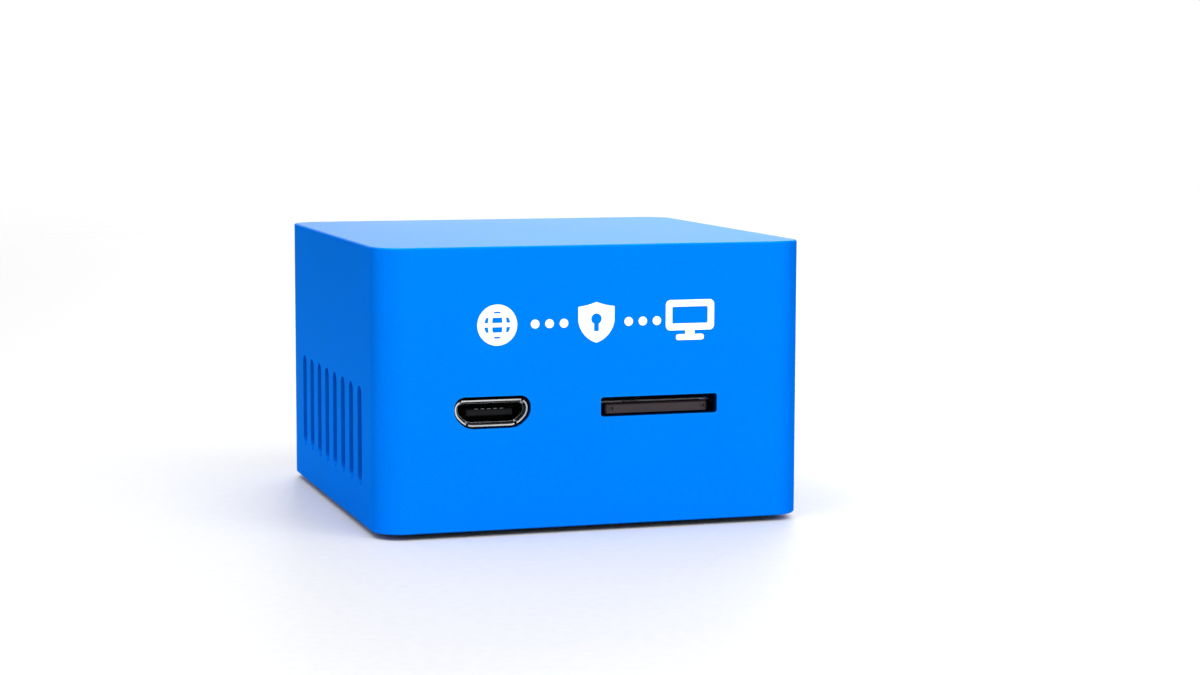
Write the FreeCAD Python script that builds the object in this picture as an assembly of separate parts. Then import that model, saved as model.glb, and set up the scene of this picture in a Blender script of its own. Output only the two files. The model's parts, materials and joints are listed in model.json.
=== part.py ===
"""A palm-sized firewall appliance: a milled aluminium box around a small single-board computer.

The one-piece housing is open underneath and closed by an inset base plate on four rubber feet. The
board hangs from four corner posts on hexagonal standoffs, which also take the base plate's screws. A
finned heatsink is sprung against the chips on the board's underside, level with the vent slots. The
front wall has the micro-USB power port and the slot for the memory card, and the rear wall has the
Ethernet jack and the USB port.

Frame: millimetres, +Z up, front wall facing -Y, origin on the table under the centre of the box.
"""

import FreeCAD
import Part

import math
import os

# ---------------------------------------------------------------- driving dimensions

# Housing
CASE = 45.0                       # outer width and depth
FOOT_REVEAL = 0.6                 # gap that the feet leave under the housing
TOP = 29.0                        # height of the top face above the table
WALL = 2.0
CORNER_RADIUS = 3.0               # upright outer corners
TOP_BEVEL = 0.12
BOTTOM_BEVEL = 0.12
HALF = CASE / 2
CAVITY = HALF - WALL
FRONT = -HALF
REAR = HALF

# Base plate, let into the bottom of the housing
PLATE_THICK = 1.6
PLATE_HALF = 21.1
PLATE_GAP = 0.1
PLATE_TOP = FOOT_REVEAL + PLATE_THICK
PLATE_RADIUS = 1.6
FOOT_RADIUS = 3.25
FOOT_PLACE = 12.6
FOOT_RECESS = 0.4

# Vent slots in the left and right walls
SLOTS = 8
SLOT_PITCH = 4.1
SLOT_WIDTH = 2.0
SLOT_BOTTOM = 4.4
SLOT_TOP = 14.6

# Board
BOARD_HALF = 20.0
BOARD_THICK = 1.6
BOARD_TOP = 11.2
BOARD_BOTTOM = BOARD_TOP - BOARD_THICK
BOARD_RADIUS = 2.0
POST_PLACE = 17.4                 # screw axes, in from the centre in X and Y
POST_EDGE = 15.4                  # inner faces of the housing's corner posts
STUD_RADIUS = 0.98                # M2 studs and screws
THREAD_RADIUS = 1.0
CLEAR_RADIUS = 1.1

# Micro-USB power port
POWER_X = -10.77
POWER_MOUTH = FRONT + 0.55
POWER_LENGTH = 5.3
POWER_BACK = POWER_MOUTH + POWER_LENGTH
POWER_SHEET = 0.22
POWER_LIP = 0.5                   # length of the flared mouth
POWER_FLARE = 0.15                # how far the mouth opens out
POWER_CLEAR = 0.35                # how much larger the cut-out in the wall is
POWER_HEADROOM = 0.2              # and how much more above the port
POWER_TOP = BOARD_TOP + 2.35
POWER_TONGUE = (BOARD_TOP + 0.8, BOARD_TOP + 1.45)  # underside and top

# Memory card, 15 x 11 mm, and its socket
CARD_X = 6.72
CARD_WIDTH = 11.0
CARD_LENGTH = 15.0
CARD_THICK = 0.7
CARD_LIP = 0.95                   # thickness at the thumb ridge
CARD_OUTER = FRONT + 0.9          # outer edge of the latched card
CARD_INNER = CARD_OUTER + CARD_LENGTH
CARD_BOTTOM = BOARD_TOP + 0.6
CARD_LEFT = CARD_X - CARD_WIDTH / 2
CARD_RIGHT = CARD_X + CARD_WIDTH / 2
CARD_STEP = 1.3                   # how much narrower the inner end is, on the right
CARD_PADS = 8
CARD_PAD_PITCH = 1.1
CARD_RIDGE = 1.2                  # length of the thumb ridge
EJECT_TRAVEL = 3.0                # how far the ejector pushes the card
OVERTRAVEL = 0.5                  # how far a press takes the card in past its latched place
SOCKET_FRONT = -19.7
SOCKET_REAR = -5.4
SOCKET_LEFT = 0.2
SOCKET_RIGHT = 13.4
SOCKET_SHEET = 0.2
SOCKET_TOP = BOARD_TOP + 1.6
CARD_OPENING = (CARD_BOTTOM - 0.2, CARD_BOTTOM + 1.8)  # bottom and top of the cut-out in the wall
SLIDER_LEFT = CARD_RIGHT - CARD_STEP + 0.15
SLIDER_RIGHT = CARD_RIGHT + 0.25
SLIDER_REAR = -9.4
SLIDER_TOP = CARD_BOTTOM + CARD_THICK
SPRING_X = SLIDER_LEFT + 0.4
SPRING_Z = CARD_BOTTOM + 0.32
CAM_X = SLIDER_RIGHT - 0.34       # the cam wire runs beside the spring
CAM_Z = SLIDER_TOP - 0.2
CAM_TIP = -13.0

# Ethernet jack
JACK_X = -6.85
JACK_HALF = 8.0
JACK_DEPTH = 21.3
JACK_HEIGHT = 13.5
JACK_SHEET = 0.25
JACK_TOP = BOARD_TOP + JACK_HEIGHT
PLUG_HALF = 5.9                   # half the width of the plug's opening
PLUG_FLOOR = BOARD_TOP + 3.2
PLUG_ROOF = PLUG_FLOOR + 6.8
PLUG_DEPTH = 12.5
JACK_FRONT = REAR - JACK_DEPTH
JACK_PINS_Y = 4.4

# USB port
PORT_X = 8.55
PORT_HALF = 6.55
PORT_BOTTOM = BOARD_TOP + 0.6
PORT_TOP = PORT_BOTTOM + 5.72
PORT_SHEET = 0.3
PORT_MOUTH = REAR - 0.2
PORT_LENGTH = 13.8
PORT_BACK = PORT_MOUTH - PORT_LENGTH
PORT_PINS_Y = PORT_BACK + 1.4
PORT_TONGUE = (PORT_BOTTOM + 2.88, PORT_BOTTOM + 4.72)  # underside and top

# Chips under the board: centre x and y, half sizes, thickness
PROCESSOR = (1.0, -4.5, 7.0, 7.0, 1.2)
MEMORY = ((12.9, -5.6, 4.4, 6.4, 1.1), (-7.0, 12.2, 6.4, 4.4, 1.1))

# Heatsink under the board
SINK_TOP = 8.1
SINK_BASE = 1.5
SINK_BOTTOM = 3.0
SINK_HALF_X = 18.5
SINK_HALF_Y = 14.8
FINS = 11
FIN_THICK = 1.0
SINK_SCREWS = ((-15.2, -3.4), (15.2, 3.4))
SINK_HEAD = (3.3, 4.5)            # underside and top of the heatsink screws' heads

# Debug header and the unused rows of plated holes
HEADER_X = -10.6
HEADER_Y = -6.2
HEADER_PITCH = 2.54
EDGE_HOLES_X = 18.6

# White mark printed on the front wall
MARK_THICK = 0.03
MARK_Z = 21.2
MARK_HEIGHT = 4.1
MARK_STROKE = 0.7

CORNERS = [(sx, sy) for sx in (-1, 1) for sy in (-1, 1)]


# ---------------------------------------------------------------- helpers

def vec(x, y, z):
    return FreeCAD.Vector(x, y, z)


def box(x0, x1, y0, y1, z0, z1):
    """A block between two corners."""
    return Part.makeBox(x1 - x0, y1 - y0, z1 - z0, vec(x0, y0, z0))


def rod(x, y, z0, z1, radius):
    """An upright cylinder."""
    return Part.makeCylinder(radius, z1 - z0, vec(x, y, z0))


def rod_y(x, z, y0, y1, radius):
    """A cylinder along Y."""
    return Part.makeCylinder(radius, y1 - y0, vec(x, y0, z), vec(0, 1, 0))


def cone(x, y, z0, z1, r0, r1):
    """An upright cone from radius r0 at z0 to r1 at z1."""
    return Part.makeCone(r0, r1, z1 - z0, vec(x, y, z0))


def hexagon(x, y, z0, z1, across_flats):
    """An upright hexagonal prism with two flats facing left and right."""
    radius = across_flats / math.sqrt(3)
    angles = [math.radians(30 + 60 * k) for k in range(7)]
    points = [vec(x + radius * math.cos(a), y + radius * math.sin(a), z0) for a in angles]
    return Part.Face(Part.makePolygon(points)).extrude(vec(0, 0, z1 - z0))


def rounded_wire(points, radii):
    """A closed wire through the points, with each corner rounded by its radius."""
    count = len(points)
    if not isinstance(radii, (list, tuple)):
        radii = [radii] * count
    ends = []
    for k, corner in enumerate(points):
        before = (points[k - 1] - corner).normalize()
        after = (points[(k + 1) % count] - corner).normalize()
        half_angle = before.getAngle(after) / 2
        cut = radii[k] / math.tan(half_angle)
        bisector = (before + after).normalize()
        reach = radii[k] / math.sin(half_angle) - radii[k]
        ends.append((corner + before * cut, corner + bisector * reach, corner + after * cut))
    edges = []
    for k in range(count):
        start, middle, end = ends[k]
        if radii[k] > 0:
            edges.append(Part.Arc(start, middle, end).toShape())
        following = ends[(k + 1) % count][0]
        if end.distanceToPoint(following) > 1e-6:
            edges.append(Part.LineSegment(end, following).toShape())
    return Part.Wire(edges)


def plate(cx, cy, half_x, half_y, radius, z0, z1):
    """A flat plate with rounded upright corners."""
    points = [vec(cx - half_x, cy - half_y, z0), vec(cx + half_x, cy - half_y, z0)]
    points += [vec(cx + half_x, cy + half_y, z0), vec(cx - half_x, cy + half_y, z0)]
    return Part.Face(rounded_wire(points, radius)).extrude(vec(0, 0, z1 - z0))


def prism_y(outline, radii, y0, y1):
    """An (x, z) outline with rounded corners, run along Y."""
    wire = rounded_wire([vec(x, y0, z) for x, z in outline], radii)
    return Part.Face(wire).extrude(vec(0, y1 - y0, 0))


def prism_x(outline, x0, x1):
    """A plain (y, z) outline run along X."""
    points = [vec(x0, y, z) for y, z in outline]
    return Part.Face(Part.makePolygon(points + points[:1])).extrude(vec(x1 - x0, 0, 0))


def ribbon_x(middle, thick, x0, x1):
    """A bent strip of even thickness that follows a (y, z) line, as wide as x0 to x1."""
    def normal(a, b):
        run, rise = b[0] - a[0], b[1] - a[1]
        length = math.hypot(run, rise)
        return -rise / length, run / length

    one_side, other_side = [], []
    last = len(middle) - 1
    for k, (y, z) in enumerate(middle):
        ny, nz = normal(middle[max(k - 1, 0)], middle[max(k, 1)])
        my, mz = normal(middle[min(k, last - 1)], middle[min(k + 1, last)])
        mitre = thick / 2 / (1 + ny * my + nz * mz)
        offset_y, offset_z = (ny + my) * mitre, (nz + mz) * mitre
        one_side.append((y + offset_y, z + offset_z))
        other_side.append((y - offset_y, z - offset_z))
    return prism_x(one_side + other_side[::-1], x0, x1)


def rectangle(x0, x1, z0, z1):
    return [(x0, z0), (x1, z0), (x1, z1), (x0, z1)]


def union(shapes):
    """One shape from several that touch or overlap."""
    shapes = list(shapes)
    joined = shapes[0].multiFuse(shapes[1:]) if len(shapes) > 1 else shapes[0]
    return joined.removeSplitter()


def group(shapes):
    """Separate solids kept together in one node."""
    return Part.makeCompound(list(shapes))


def cut(body, tools):
    return body.cut(group(tools))


def bevel(body, size, choose):
    """Chamfers the edges for which choose(edge) is true."""
    return body.makeChamfer(size, [e for e in body.Edges if choose(e)])


def soften(body, radius, choose):
    """Rounds the edges for which choose(edge) is true."""
    return body.makeFillet(radius, [e for e in body.Edges if choose(e)])


def at_height(z):
    """Picks the edges that lie wholly at one height."""
    return lambda e: abs(e.BoundBox.ZMin - z) < 1e-4 and abs(e.BoundBox.ZMax - z) < 1e-4


def coil(x, y, z, height, radius, wire, turns, lying=False):
    """A helical spring of eight-sided wire that stands at (x, y, z), or lies along Y from there."""
    helix = Part.makeHelix(height / turns, height, radius)
    angles = [math.radians(22.5 + 45 * k) for k in range(9)]
    corners = [vec(radius + wire / 2 * math.cos(a), 0, wire / 2 * math.sin(a)) for a in angles]
    spring = Part.Wire(helix.Edges).makePipeShell([Part.makePolygon(corners)], True, True)
    if lying:
        spring.rotate(vec(0, 0, 0), vec(1, 0, 0), -90)
    spring.translate(vec(x, y, z))
    return spring


def spread(count, pitch):
    """Positions of a centred row."""
    return [(k - (count - 1) / 2) * pitch for k in range(count)]


# ---------------------------------------------------------------- power port outline

def power_outline(grow=0.0, headroom=0.0):
    """The micro-USB outline in X and Z, offset outwards: square shoulders, slanting sides below."""
    slant = grow * math.tan(math.radians(22.5))
    wide, narrow = 3.6 + grow, 2.55 + slant
    low, high, knee = BOARD_TOP - grow, POWER_TOP + grow + headroom, BOARD_TOP + 1.05 - slant
    sides = [(-wide, high), (-wide, knee), (-narrow, low), (narrow, low), (wide, knee), (wide, high)]
    return [(POWER_X + x, z) for x, z in sides]


def power_radii(grow=0.0):
    return [radius + grow for radius in (0.75, 1.2, 1.7, 1.7, 1.2, 0.75)]


def power_prism(grow, y0, y1):
    return prism_y(power_outline(grow), power_radii(grow), y0, y1)


def power_wire(grow, y):
    return rounded_wire([vec(x, y, z) for x, z in power_outline(grow)], power_radii(grow))


# ---------------------------------------------------------------- housing

def vent_slot(y):
    """One round-ended slot, run right across the box so that it pierces both side walls."""
    low = SLOT_BOTTOM + SLOT_WIDTH / 2
    high = SLOT_TOP - SLOT_WIDTH / 2
    radius = SLOT_WIDTH / 2
    lines = [Part.LineSegment(vec(-HALF, y + radius, low), vec(-HALF, y + radius, high)).toShape()]
    lines.append(Part.Arc(vec(-HALF, y + radius, high), vec(-HALF, y, SLOT_TOP),
                          vec(-HALF, y - radius, high)).toShape())
    lines.append(Part.LineSegment(vec(-HALF, y - radius, high), vec(-HALF, y - radius, low)).toShape())
    lines.append(Part.Arc(vec(-HALF, y - radius, low), vec(-HALF, y, SLOT_BOTTOM),
                          vec(-HALF, y + radius, low)).toShape())
    return Part.Face(Part.Wire(lines)).extrude(vec(CASE, 0, 0))


def front_cut(outline, radii):
    """The tool for a cut-out in the front wall."""
    return prism_y(outline, radii, FRONT - 1, 1 - CAVITY)


def rear_cut(outline, radii):
    return prism_y(outline, radii, CAVITY - 1, REAR + 1)


def housing_shell():
    body = plate(0, 0, HALF, HALF, CORNER_RADIUS, FOOT_REVEAL, TOP)
    body = bevel(body, TOP_BEVEL, at_height(TOP))
    body = bevel(body, BOTTOM_BEVEL, at_height(FOOT_REVEAL))
    rebate = PLATE_HALF + PLATE_GAP
    rebate_cut = plate(0, 0, rebate, rebate, PLATE_RADIUS + PLATE_GAP, FOOT_REVEAL - 1, PLATE_TOP)
    cavity = plate(0, 0, CAVITY, CAVITY, 1.5, PLATE_TOP - 0.5, TOP - WALL)
    posts = []
    for sx, sy in CORNERS:
        middle = (POST_EDGE + CAVITY) / 2
        half = (CAVITY - POST_EDGE) / 2
        posts.append(plate(sx * (middle + 0.5), sy * (middle + 0.5), half + 0.5, half + 0.5, 1.2,
                           BOARD_TOP, TOP))
    cavity = cut(cavity, posts)
    thread_top = BOARD_TOP + 6.5
    holes = [rod(sx * POST_PLACE, sy * POST_PLACE, BOARD_TOP - 1, thread_top, THREAD_RADIUS)
             for sx, sy in CORNERS]
    slots = cut(group([vent_slot(y) for y in spread(SLOTS, SLOT_PITCH)]),
                [box(-CAVITY, CAVITY, -HALF, HALF, 0, TOP)])
    power_cut = front_cut(power_outline(POWER_CLEAR, POWER_HEADROOM), power_radii(POWER_CLEAR))
    card_cut = front_cut(rectangle(CARD_X - 6.22, CARD_X + 6.22, *CARD_OPENING), 0.3)
    jack_cut = rear_cut(rectangle(JACK_X - JACK_HALF - 0.15, JACK_X + JACK_HALF + 0.15,
                                  BOARD_TOP - 0.2, JACK_TOP + 0.2), 0.4)
    port_cut = rear_cut(rectangle(PORT_X - PORT_HALF - 0.35, PORT_X + PORT_HALF + 0.35,
                                  PORT_BOTTOM - 0.35, PORT_TOP + 0.35), 0.6)
    # The board slides back into this groove while its front ports swing up to their cut-outs.
    groove = box(-BOARD_HALF - 0.2, BOARD_HALF + 0.2, CAVITY - 1, CAVITY + 1.2,
                 BOARD_BOTTOM - 0.4, BOARD_TOP + 0.1)
    cuts = [rebate_cut, cavity, slots, power_cut, card_cut, jack_cut, port_cut, groove] + holes
    return cut(body, cuts)


def base_plate():
    body = plate(0, 0, PLATE_HALF, PLATE_HALF, PLATE_RADIUS, FOOT_REVEAL, PLATE_TOP)
    body = bevel(body, 0.15, at_height(FOOT_REVEAL))
    tools = []
    for sx, sy in CORNERS:
        x, y = sx * POST_PLACE, sy * POST_PLACE
        tools.append(rod(x, y, FOOT_REVEAL - 1, PLATE_TOP + 1, CLEAR_RADIUS))
        tools.append(cone(x, y, FOOT_REVEAL + 0.15, FOOT_REVEAL + 1.05, 2.0, CLEAR_RADIUS))
        tools.append(rod(x, y, FOOT_REVEAL - 1, FOOT_REVEAL + 0.15, 2.0))
        tools.append(rod(sx * FOOT_PLACE, sy * FOOT_PLACE, FOOT_REVEAL - 1,
                         FOOT_REVEAL + FOOT_RECESS, FOOT_RADIUS + 0.1))
    return cut(body, tools)


def cross_recess(x, y, z, reach, depth):
    """The tool that cuts a cross into a screw head from below."""
    arm = 0.22
    upright = box(x - arm, x + arm, y - reach, y + reach, z - 1, z + depth)
    level = box(x - reach, x + reach, y - arm, y + arm, z - 1, z + depth)
    return upright.fuse(level)


def base_screws():
    screws = []
    for sx, sy in CORNERS:
        x, y = sx * POST_PLACE, sy * POST_PLACE
        bottom = FOOT_REVEAL + 0.17
        head = cone(x, y, bottom, bottom + 0.87, 1.88, STUD_RADIUS)
        shank = rod(x, y, bottom + 0.5, bottom + 5.0, STUD_RADIUS)
        screws.append(union([head, shank]).cut(cross_recess(x, y, bottom, 1.05, 0.6)))
    return group(screws)


def rubber_feet():
    feet = []
    for sx, sy in CORNERS:
        x, y = sx * FOOT_PLACE, sy * FOOT_PLACE
        foot = rod(x, y, 0, FOOT_REVEAL + FOOT_RECESS, FOOT_RADIUS)
        feet.append(soften(foot, 0.25, at_height(0)))
    return group(feet)


def base_label():
    return plate(0, 0, 8.5, 15.0, 1.0, FOOT_REVEAL - 0.1, FOOT_REVEAL)


def board_standoffs():
    standoffs = []
    for sx, sy in CORNERS:
        x, y = sx * POST_PLACE, sy * POST_PLACE
        body = hexagon(x, y, PLATE_TOP, BOARD_BOTTOM, 4.0)
        stud = rod(x, y, BOARD_BOTTOM - 0.5, BOARD_TOP + 5.0, STUD_RADIUS)
        socket = rod(x, y, PLATE_TOP - 1, PLATE_TOP + 5.0, THREAD_RADIUS)
        standoffs.append(union([body, stud]).cut(socket))
    return group(standoffs)


# ---------------------------------------------------------------- printed mark

def ink(shapes):
    """The film of ink that these shapes leave on the front wall."""
    film = box(-HALF, HALF, FRONT - MARK_THICK, FRONT, MARK_Z - 3, MARK_Z + 3)
    return union(shapes).common(film)


def ink_rod(x, z, radius):
    return rod_y(x, z, FRONT - 1, FRONT + 1, radius)


def ink_bar(x0, x1, z0, z1, radius):
    return prism_y(rectangle(x0, x1, z0, z1), radius, FRONT - 1, FRONT + 1)


def mark_globe(x):
    """A globe: a ring with an equator, two more parallels and an elliptical meridian."""
    radius = MARK_HEIGHT / 2
    line = MARK_STROKE * 0.6
    disc = ink_rod(x, MARK_Z, radius)
    ring = disc.cut(ink_rod(x, MARK_Z, radius - MARK_STROKE))
    ellipses = []
    for half_width in (0.95, 0.95 - line):
        curve = Part.Ellipse(vec(0, 0, 0), radius - (0.95 - half_width), half_width)
        face = Part.Face(Part.Wire(curve.toShape()))
        face.rotate(vec(0, 0, 0), vec(0, 0, 1), 90)
        face.rotate(vec(0, 0, 0), vec(1, 0, 0), 90)
        face.translate(vec(x, FRONT + 1, MARK_Z))
        ellipses.append(face.extrude(vec(0, -2, 0)))
    meridian = ellipses[0].cut(ellipses[1])
    parallels = [box(x - radius, x + radius, FRONT - 1, FRONT + 1, z - line / 2, z + line / 2)
                 for z in (MARK_Z - 0.95, MARK_Z, MARK_Z + 0.95)]
    lines = union([meridian] + parallels).common(disc)
    return ink([ring, lines])


def mark_shield(x):
    """A heater shield with a keyhole."""
    half = 1.9
    top = MARK_Z + MARK_HEIGHT / 2
    bottom = MARK_Z - MARK_HEIGHT / 2
    shoulder = MARK_Z + 0.1
    y = FRONT + 1
    edges = [Part.LineSegment(vec(x - half, y, shoulder), vec(x - half, y, top - 0.45)).toShape()]
    edges.append(Part.Arc(vec(x - half, y, top - 0.45), vec(x - half / 2, y, top - 0.3),
                          vec(x, y, top)).toShape())
    edges.append(Part.Arc(vec(x, y, top), vec(x + half / 2, y, top - 0.3),
                          vec(x + half, y, top - 0.45)).toShape())
    edges.append(Part.LineSegment(vec(x + half, y, top - 0.45), vec(x + half, y, shoulder)).toShape())
    edges.append(Part.Arc(vec(x + half, y, shoulder), vec(x + half * 0.68, y, MARK_Z - 1.2),
                          vec(x, y, bottom)).toShape())
    edges.append(Part.Arc(vec(x, y, bottom), vec(x - half * 0.68, y, MARK_Z - 1.2),
                          vec(x - half, y, shoulder)).toShape())
    shield = Part.Face(Part.Wire(edges)).extrude(vec(0, -2, 0))
    keyhole = [ink_rod(x, MARK_Z + 0.35, 0.55), ink_bar(x - 0.25, x + 0.25, MARK_Z - 0.9, MARK_Z + 0.2, 0.1)]
    return cut(ink([shield]), keyhole)


def mark_screen(x):
    """A monitor on its foot."""
    half = 2.6
    top = MARK_Z + MARK_HEIGHT / 2
    bottom = MARK_Z - MARK_HEIGHT / 2
    frame = ink_bar(x - half, x + half, MARK_Z - 1.05, top, 0.5)
    glass = ink_bar(x - half + MARK_STROKE, x + half - MARK_STROKE, MARK_Z - 0.35, top - MARK_STROKE, 0.15)
    neck = ink_bar(x - 0.5, x + 0.5, MARK_Z - 1.8, MARK_Z - 0.9, 0.05)
    foot = ink_bar(x - 1.5, x + 1.5, bottom, bottom + 0.6, 0.25)
    return ink([frame.cut(glass), neck, foot])


def front_mark():
    """A globe, a shield and a screen, joined by dots: network, protection, device."""
    dots = [ink([ink_rod(sign * (3.4 + 1.5 * k), MARK_Z, 0.45)]) for sign in (-1, 1) for k in range(3)]
    return group([mark_globe(-10.3), mark_shield(0.0), mark_screen(9.95)] + dots)


# ---------------------------------------------------------------- board and its chips

def header_places():
    return [HEADER_Y + y for y in spread(4, HEADER_PITCH)]


def circuit_board():
    body = plate(0, 0, BOARD_HALF, BOARD_HALF, BOARD_RADIUS, BOARD_BOTTOM, BOARD_TOP)
    tools = [rod(sx * POST_PLACE, sy * POST_PLACE, BOARD_BOTTOM - 1, BOARD_TOP + 1, CLEAR_RADIUS)
             for sx, sy in CORNERS]
    tools += [rod(x, y, BOARD_BOTTOM - 1, BOARD_TOP + 1, CLEAR_RADIUS) for x, y in SINK_SCREWS]
    tools += [rod(sx * EDGE_HOLES_X, y, BOARD_BOTTOM - 1, BOARD_TOP + 1, 0.5)
              for sx in (-1, 1) for y in spread(10, HEADER_PITCH)]
    tools += [rod(x, JACK_PINS_Y + (k % 2) * 2.54, BOARD_BOTTOM - 1, BOARD_TOP + 1, 0.4)
              for k, x in enumerate(jack_contact_places())]
    tools += [rod(HEADER_X, y, BOARD_BOTTOM - 1, BOARD_TOP + 1, 0.5) for y in header_places()]
    tools += [rod(x, PORT_PINS_Y, BOARD_BOTTOM - 1, BOARD_TOP + 1, 0.5) for x in port_contact_places()]
    return cut(body, tools)


def chip_below(x, y, half_x, half_y, thick):
    """A black package soldered under the board, with a dot recess at its first pin."""
    bottom = BOARD_BOTTOM - thick
    body = box(x - half_x, x + half_x, y - half_y, y + half_y, bottom, BOARD_BOTTOM)
    body = bevel(body, 0.1, at_height(bottom))
    return body.cut(rod(x - half_x + 1.0, y + half_y - 1.0, bottom - 1, bottom + 0.06, 0.35))


def processor_chip():
    return chip_below(*PROCESSOR)


def memory_chips():
    return group([chip_below(*chip) for chip in MEMORY])


def chip_above(x, y, half_x, half_y, thick):
    top = BOARD_TOP + thick
    body = box(x - half_x, x + half_x, y - half_y, y + half_y, BOARD_TOP, top)
    body = bevel(body, 0.08, at_height(top))
    return body.cut(rod(x - half_x + 0.7, y + half_y - 0.7, top - 0.05, top + 1, 0.25))


def network_chip():
    return chip_above(-4.6, -3.6, 2.5, 2.5, 0.9)


def power_chips():
    return group([chip_above(-13.4, -13.4, 1.5, 1.5, 0.8), chip_above(4.8, 4.4, 0.85, 1.45, 1.0),
                  chip_above(16.6, -7.0, 0.85, 1.45, 1.0)])


def power_inductors():
    """Square shielded coils with a round top."""
    coils = []
    for x, y in ((-16.4, -12.4), (-16.4, -9.0), (-13.4, -10.0)):
        body = plate(x, y, 1.25, 1.25, 0.3, BOARD_TOP, BOARD_TOP + 1.0)
        coils.append(union([body, rod(x, y, BOARD_TOP + 0.9, BOARD_TOP + 1.2, 1.0)]))
    return group(coils)


def crystals():
    """Two low metal cans with rounded ends."""
    top = BOARD_TOP + 0.9
    cans = []
    for x, y in ((-4.6, -8.2), (5.5, -2.4)):
        can = plate(x, y, 1.6, 1.25, 0.4, BOARD_TOP, top)
        cans.append(soften(can, 0.15, at_height(top)))
    return group(cans)


def chip_part(x, y, long_x, z, up):
    """A small two-ended passive, lying along X or Y, above or below the board."""
    half_x, half_y = (0.5, 0.25) if long_x else (0.25, 0.5)
    return box(x - half_x, x + half_x, y - half_y, y + half_y, z, z + up)


def bulk_capacitor():
    """The tall can that steadies the USB port's supply, with its scored vent."""
    x, y, top = 10.2, 4.4, BOARD_TOP + 5.4
    foot = bevel(box(x - 2.4, x + 2.4, y - 2.4, y + 2.4, BOARD_TOP, BOARD_TOP + 0.7), 0.9,
                 lambda e: e.BoundBox.ZLength > 0.5 and e.BoundBox.XMin > x)
    can = soften(rod(x, y, BOARD_TOP + 0.6, top, 2.35), 0.35, at_height(top))
    neck = Part.makeTorus(2.45, 0.3, vec(x, y, BOARD_TOP + 1.3))
    return union([foot, can.cut(neck)])


def ceramic_capacitors():
    above = [chip_part(-1.2 - 1.1 * k, -14.6, False, BOARD_TOP, 0.5) for k in range(6)]
    above += [chip_part(2.0 + 1.1 * k, 0.4, False, BOARD_TOP, 0.5) for k in range(8)]
    depth = 0.5
    below = [chip_part(-5.0 + 1.2 * k, -13.0, False, BOARD_BOTTOM - depth, depth) for k in range(11)]
    below += [chip_part(-0.8 + 1.2 * k, 3.6, False, BOARD_BOTTOM - depth, depth) for k in range(7)]
    return group(above + below)


def chip_resistors():
    above = [chip_part(-1.6, -13.0 + 0.9 * k, True, BOARD_TOP, 0.35) for k in range(5)]
    above += [chip_part(15.8, -14.0 + 0.9 * k, True, BOARD_TOP, 0.35) for k in range(3)]
    depth = 0.35
    below = [chip_part(-5.0 + 1.6 * k, -14.6, True, BOARD_BOTTOM - depth, depth) for k in range(8)]
    below += [chip_part(-0.6 + 1.6 * k, 5.2, True, BOARD_BOTTOM - depth, depth) for k in range(5)]
    return group(above + below)


def status_leds():
    """Power and activity lamps beside the memory card's socket."""
    lamps = []
    for x in (-5.2, -2.8):
        foot = box(x - 0.8, x + 0.8, -18.9, -18.1, BOARD_TOP, BOARD_TOP + 0.3)
        dome = box(x - 0.5, x + 0.5, -18.9, -18.1, BOARD_TOP + 0.3, BOARD_TOP + 0.75)
        lamps.append(union([foot, dome]))
    return group(lamps)


def debug_header_block():
    x = HEADER_X
    blocks = [plate(x, y, 1.25, HEADER_PITCH / 2, 0.4, BOARD_TOP, BOARD_TOP + 2.5) for y in header_places()]
    tools = [box(x - 0.32, x + 0.32, y - 0.32, y + 0.32, BOARD_TOP - 1, BOARD_TOP + 4)
             for y in header_places()]
    return cut(union(blocks), tools)


def debug_header_pins():
    x = HEADER_X
    low, high = BOARD_BOTTOM - 1.0, BOARD_TOP + 8.5
    pins = [box(x - 0.31, x + 0.31, y - 0.31, y + 0.31, low, high) for y in header_places()]
    return group([bevel(pin, 0.15, at_height(high)) for pin in pins])


# ---------------------------------------------------------------- Ethernet jack

def jack_contact_places():
    return [JACK_X + x for x in spread(8, 1.02)]


def plug_opening(y0, y1, grow=0.0):
    """The stepped opening for the plug and its latch, the latch below."""
    wide, middle, narrow = PLUG_HALF + grow, 3.1 + grow, 1.65 + grow
    floor, step, sill = PLUG_FLOOR - grow, PLUG_FLOOR - 1.2 - grow, PLUG_FLOOR - 2.2 - grow
    right = [(narrow, sill), (narrow, step), (middle, step), (middle, floor), (wide, floor)]
    right.append((wide, PLUG_ROOF + grow))
    outline = right + [(-x, z) for x, z in reversed(right)]
    return prism_y([(JACK_X + x, z) for x, z in outline], 0.12, y0, y1)


def jack_lamp_windows(grow):
    low, high = PLUG_FLOOR - 2.1 - grow, PLUG_FLOOR - 0.5 + grow
    half = 1.3 + grow
    return [box(x - half, x + half, REAR - 4, REAR + 1, low, high) for x in (JACK_X - 5.6, JACK_X + 5.6)]


def ethernet_jack_insert():
    """The moulded body inside the shield."""
    inner = JACK_HALF - JACK_SHEET
    body = box(JACK_X - inner, JACK_X + inner, JACK_FRONT + JACK_SHEET, REAR - JACK_SHEET,
               BOARD_TOP + 0.3, JACK_TOP - JACK_SHEET)
    cavity = plug_opening(REAR - PLUG_DEPTH, REAR + 1)
    chamber = box(JACK_X - 6.6, JACK_X + 6.6, JACK_FRONT + 0.8, REAR - PLUG_DEPTH - 1.2,
                  BOARD_TOP - 1, JACK_TOP - 1.4)
    lead_in = box(JACK_X - 4.2, JACK_X + 4.2, JACK_FRONT + 2, REAR - 2.0, PLUG_ROOF - 0.5, PLUG_ROOF + 0.9)
    return cut(body, [cavity, chamber, lead_in] + jack_lamp_windows(0.0))


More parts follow.
